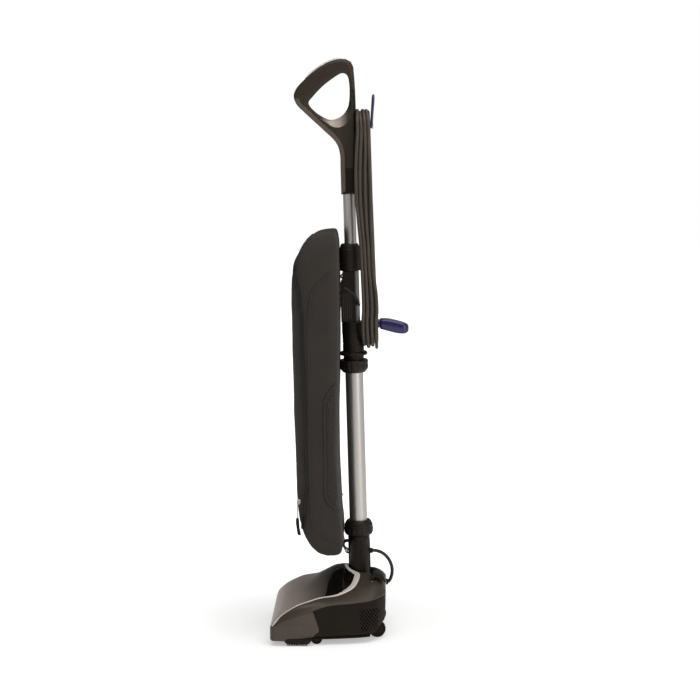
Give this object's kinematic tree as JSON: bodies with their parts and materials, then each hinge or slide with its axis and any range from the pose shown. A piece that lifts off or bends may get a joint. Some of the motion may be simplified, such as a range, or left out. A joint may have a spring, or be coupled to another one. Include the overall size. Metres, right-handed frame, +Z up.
{
  "type": "upright vacuum cleaner",
  "caption": "Lightweight upright vacuum cleaner with a low wide floor head, jointed neck, two tubes, a zipped cloth bag, a loop handle and its cord wound on swivel hooks.",
  "frame": {"origin": "on the floor, at the centre of the footprint box of the parked cleaner without its cord", "axes": "+Z up, the floor head points to -Y, +X is the user's left when standing behind the handle"},
  "size_m": [0.288, 0.2897, 1.2189],
  "materials": {
    "dark_housing": "satin moulded plastic",
    "taupe_cover": "glossy metallic taupe paint",
    "pearl_hood": "glossy metallic light taupe paint",
    "satin_trim": "satin silver plating",
    "black_plastic": "satin black plastic",
    "black_rubber": "matte rubber",
    "bristle": "nylon bristle",
    "steel": "zinc-plated steel",
    "tube_aluminium": "brushed anodised aluminium",
    "handle_plastic": "satin dark taupe plastic",
    "violet_plastic": "glossy violet plastic",
    "cord_jacket": "grey-brown cord jacket",
    "bag_fabric": "woven nylon over foam",
    "bag_paper": "filter paper",
    "zip_tape": "coil zip",
    "zip_metal": "nickel plated"
  },
  "bodies": {
    "head": {"chassis": "dark_housing", "base_plate": "dark_housing", "top_cover": "taupe_cover", "hood": "pearl_hood", "hood_trim": "satin_trim", "recess_cover": "dark_housing", "end_cap_left": "taupe_cover", "end_cap_right": "taupe_cover", "edge_brush_holders": "black_plastic", "edge_bristles": "bristle", "front_bumper": "black_rubber", "brush_bearings": "dark_housing", "drive_belt": "black_rubber", "motor_housing": "steel", "fan_housing": "dark_housing", "neck_duct": "dark_housing", "wheel_axles": "steel", "pivot_yokes": "dark_housing", "hinge_pins": "steel", "base_screws": "steel", "head_gland": "black_rubber", "motor_lead": "cord_jacket"},
    "brush": {"brush_roll": "black_plastic", "brush_bristles": "bristle"},
    "motor_rotor": {"armature": "steel", "fan": "black_plastic"},
    "rear_wheel_left": {"rear_wheel_left": "black_rubber"},
    "rear_wheel_right": {"rear_wheel_right": "black_rubber"},
    "front_wheel_left": {"front_wheel_left": "black_rubber"},
    "front_wheel_right": {"front_wheel_right": "black_rubber"},
    "pedal": {"release_pedal": "black_plastic"},
    "handle": {"neck": "black_plastic", "neck_gland": "black_rubber", "bag_catch": "black_plastic", "lower_tube": "tube_aluminium", "lower_dock": "black_plastic", "joiner_sleeve": "tube_aluminium", "bag_dock": "black_plastic", "upper_collar": "black_plastic", "upper_tube": "tube_aluminium", "handle_left": "handle_plastic", "handle_right": "handle_plastic", "grip_strip": "satin_trim", "hook_mounts": "black_plastic", "hook_screws": "steel", "strain_relief": "black_rubber", "cord_start": "cord_jacket", "cord_hank": "cord_jacket", "cord_end": "cord_jacket", "plug": "black_rubber", "outer_bag": "bag_fabric", "paper_bag": "bag_paper", "zipper": "zip_tape"},
    "low_collar": {"low_collar": "black_plastic"},
    "mid_nut": {"mid_nut": "black_plastic"},
    "switch": {"power_switch": "black_plastic"},
    "upper_hook": {"upper_hook": "violet_plastic"},
    "lower_hook": {"lower_hook": "violet_plastic"},
    "zip_slider": {"zipper_slider": "zip_metal"},
    "zip_pull": {"zipper_pull": "zip_metal"}
  },
  "joints": [
    {"name": "handle_recline", "type": "hinge", "parent": "head", "child": "handle", "pos_m": [0, 0.043, 0.075], "axis": [-1, 0, 0], "range_deg": [0, 75], "deforming": ["motor_lead"]},
    {"name": "motor_spin", "type": "hinge", "parent": "head", "child": "motor_rotor", "pos_m": [0, -0.028, 0.064], "axis": [1, 0, 0], "continuous": true},
    {"name": "brush_spin", "type": "hinge", "parent": "head", "child": "brush", "pos_m": [0, -0.11, 0.025], "axis": [1, 0, 0], "continuous": true},
    {"name": "rear_wheel_left_spin", "type": "hinge", "parent": "head", "child": "rear_wheel_left", "pos_m": [0.063, 0.0795, 0.018], "axis": [1, 0, 0], "continuous": true},
    {"name": "rear_wheel_right_spin", "type": "hinge", "parent": "head", "child": "rear_wheel_right", "pos_m": [-0.063, 0.0795, 0.018], "axis": [1, 0, 0], "continuous": true},
    {"name": "front_wheel_left_spin", "type": "hinge", "parent": "head", "child": "front_wheel_left", "pos_m": [0.121, -0.047, 0.012], "axis": [1, 0, 0], "continuous": true},
    {"name": "front_wheel_right_spin", "type": "hinge", "parent": "head", "child": "front_wheel_right", "pos_m": [-0.121, -0.047, 0.012], "axis": [1, 0, 0], "continuous": true},
    {"name": "pedal_press", "type": "hinge", "parent": "head", "child": "pedal", "pos_m": [0.0455, 0.068, 0.119], "axis": [-1, 0, 0], "range_deg": [0, 10], "stiffness_Nm_per_rad": 0.6, "springref_deg": -11.46},
    {"name": "low_collar_twist", "type": "hinge", "parent": "handle", "child": "low_collar", "pos_m": [0, 0.03868, 0.22494], "axis": [0, -0.0288, 0.9996], "range_deg": [0, 60]},
    {"name": "mid_nut_twist", "type": "hinge", "parent": "handle", "child": "mid_nut", "pos_m": [0, 0.02866, 0.57279], "axis": [0, -0.0288, 0.9996], "range_deg": [0, 60]},
    {"name": "switch_rock", "type": "hinge", "parent": "handle", "child": "switch", "pos_m": [0, 0.01361, 1.19962], "axis": [1, 0, 0], "range_deg": [-8, 8]},
    {"name": "upper_hook_turn", "type": "hinge", "parent": "handle", "child": "upper_hook", "pos_m": [0, 0.05008, 1.07962], "axis": [0, 0.9996, 0.0288], "range_deg": [0, 180]},
    {"name": "lower_hook_turn", "type": "hinge", "parent": "handle", "child": "lower_hook", "pos_m": [0, 0.06608, 0.66291], "axis": [0, 0.9996, 0.0288], "range_deg": [0, 180]},
    {"name": "zip_slide", "type": "slide", "parent": "handle", "child": "zip_slider", "axis": [0, -0.0288, 0.9996], "range_m": [0, 0.4]},
    {"name": "pull_swing", "type": "hinge", "parent": "zip_slider", "child": "zip_pull", "pos_m": [0.09952, -0.08673, 0.29676], "axis": [-0.6428, -0.7657, -0.0221], "range_deg": [0, 120]}
  ],
  "couplings": [
    {"joint": "brush_spin", "follows": "motor_spin", "ratio": 0.4545}
  ]
}
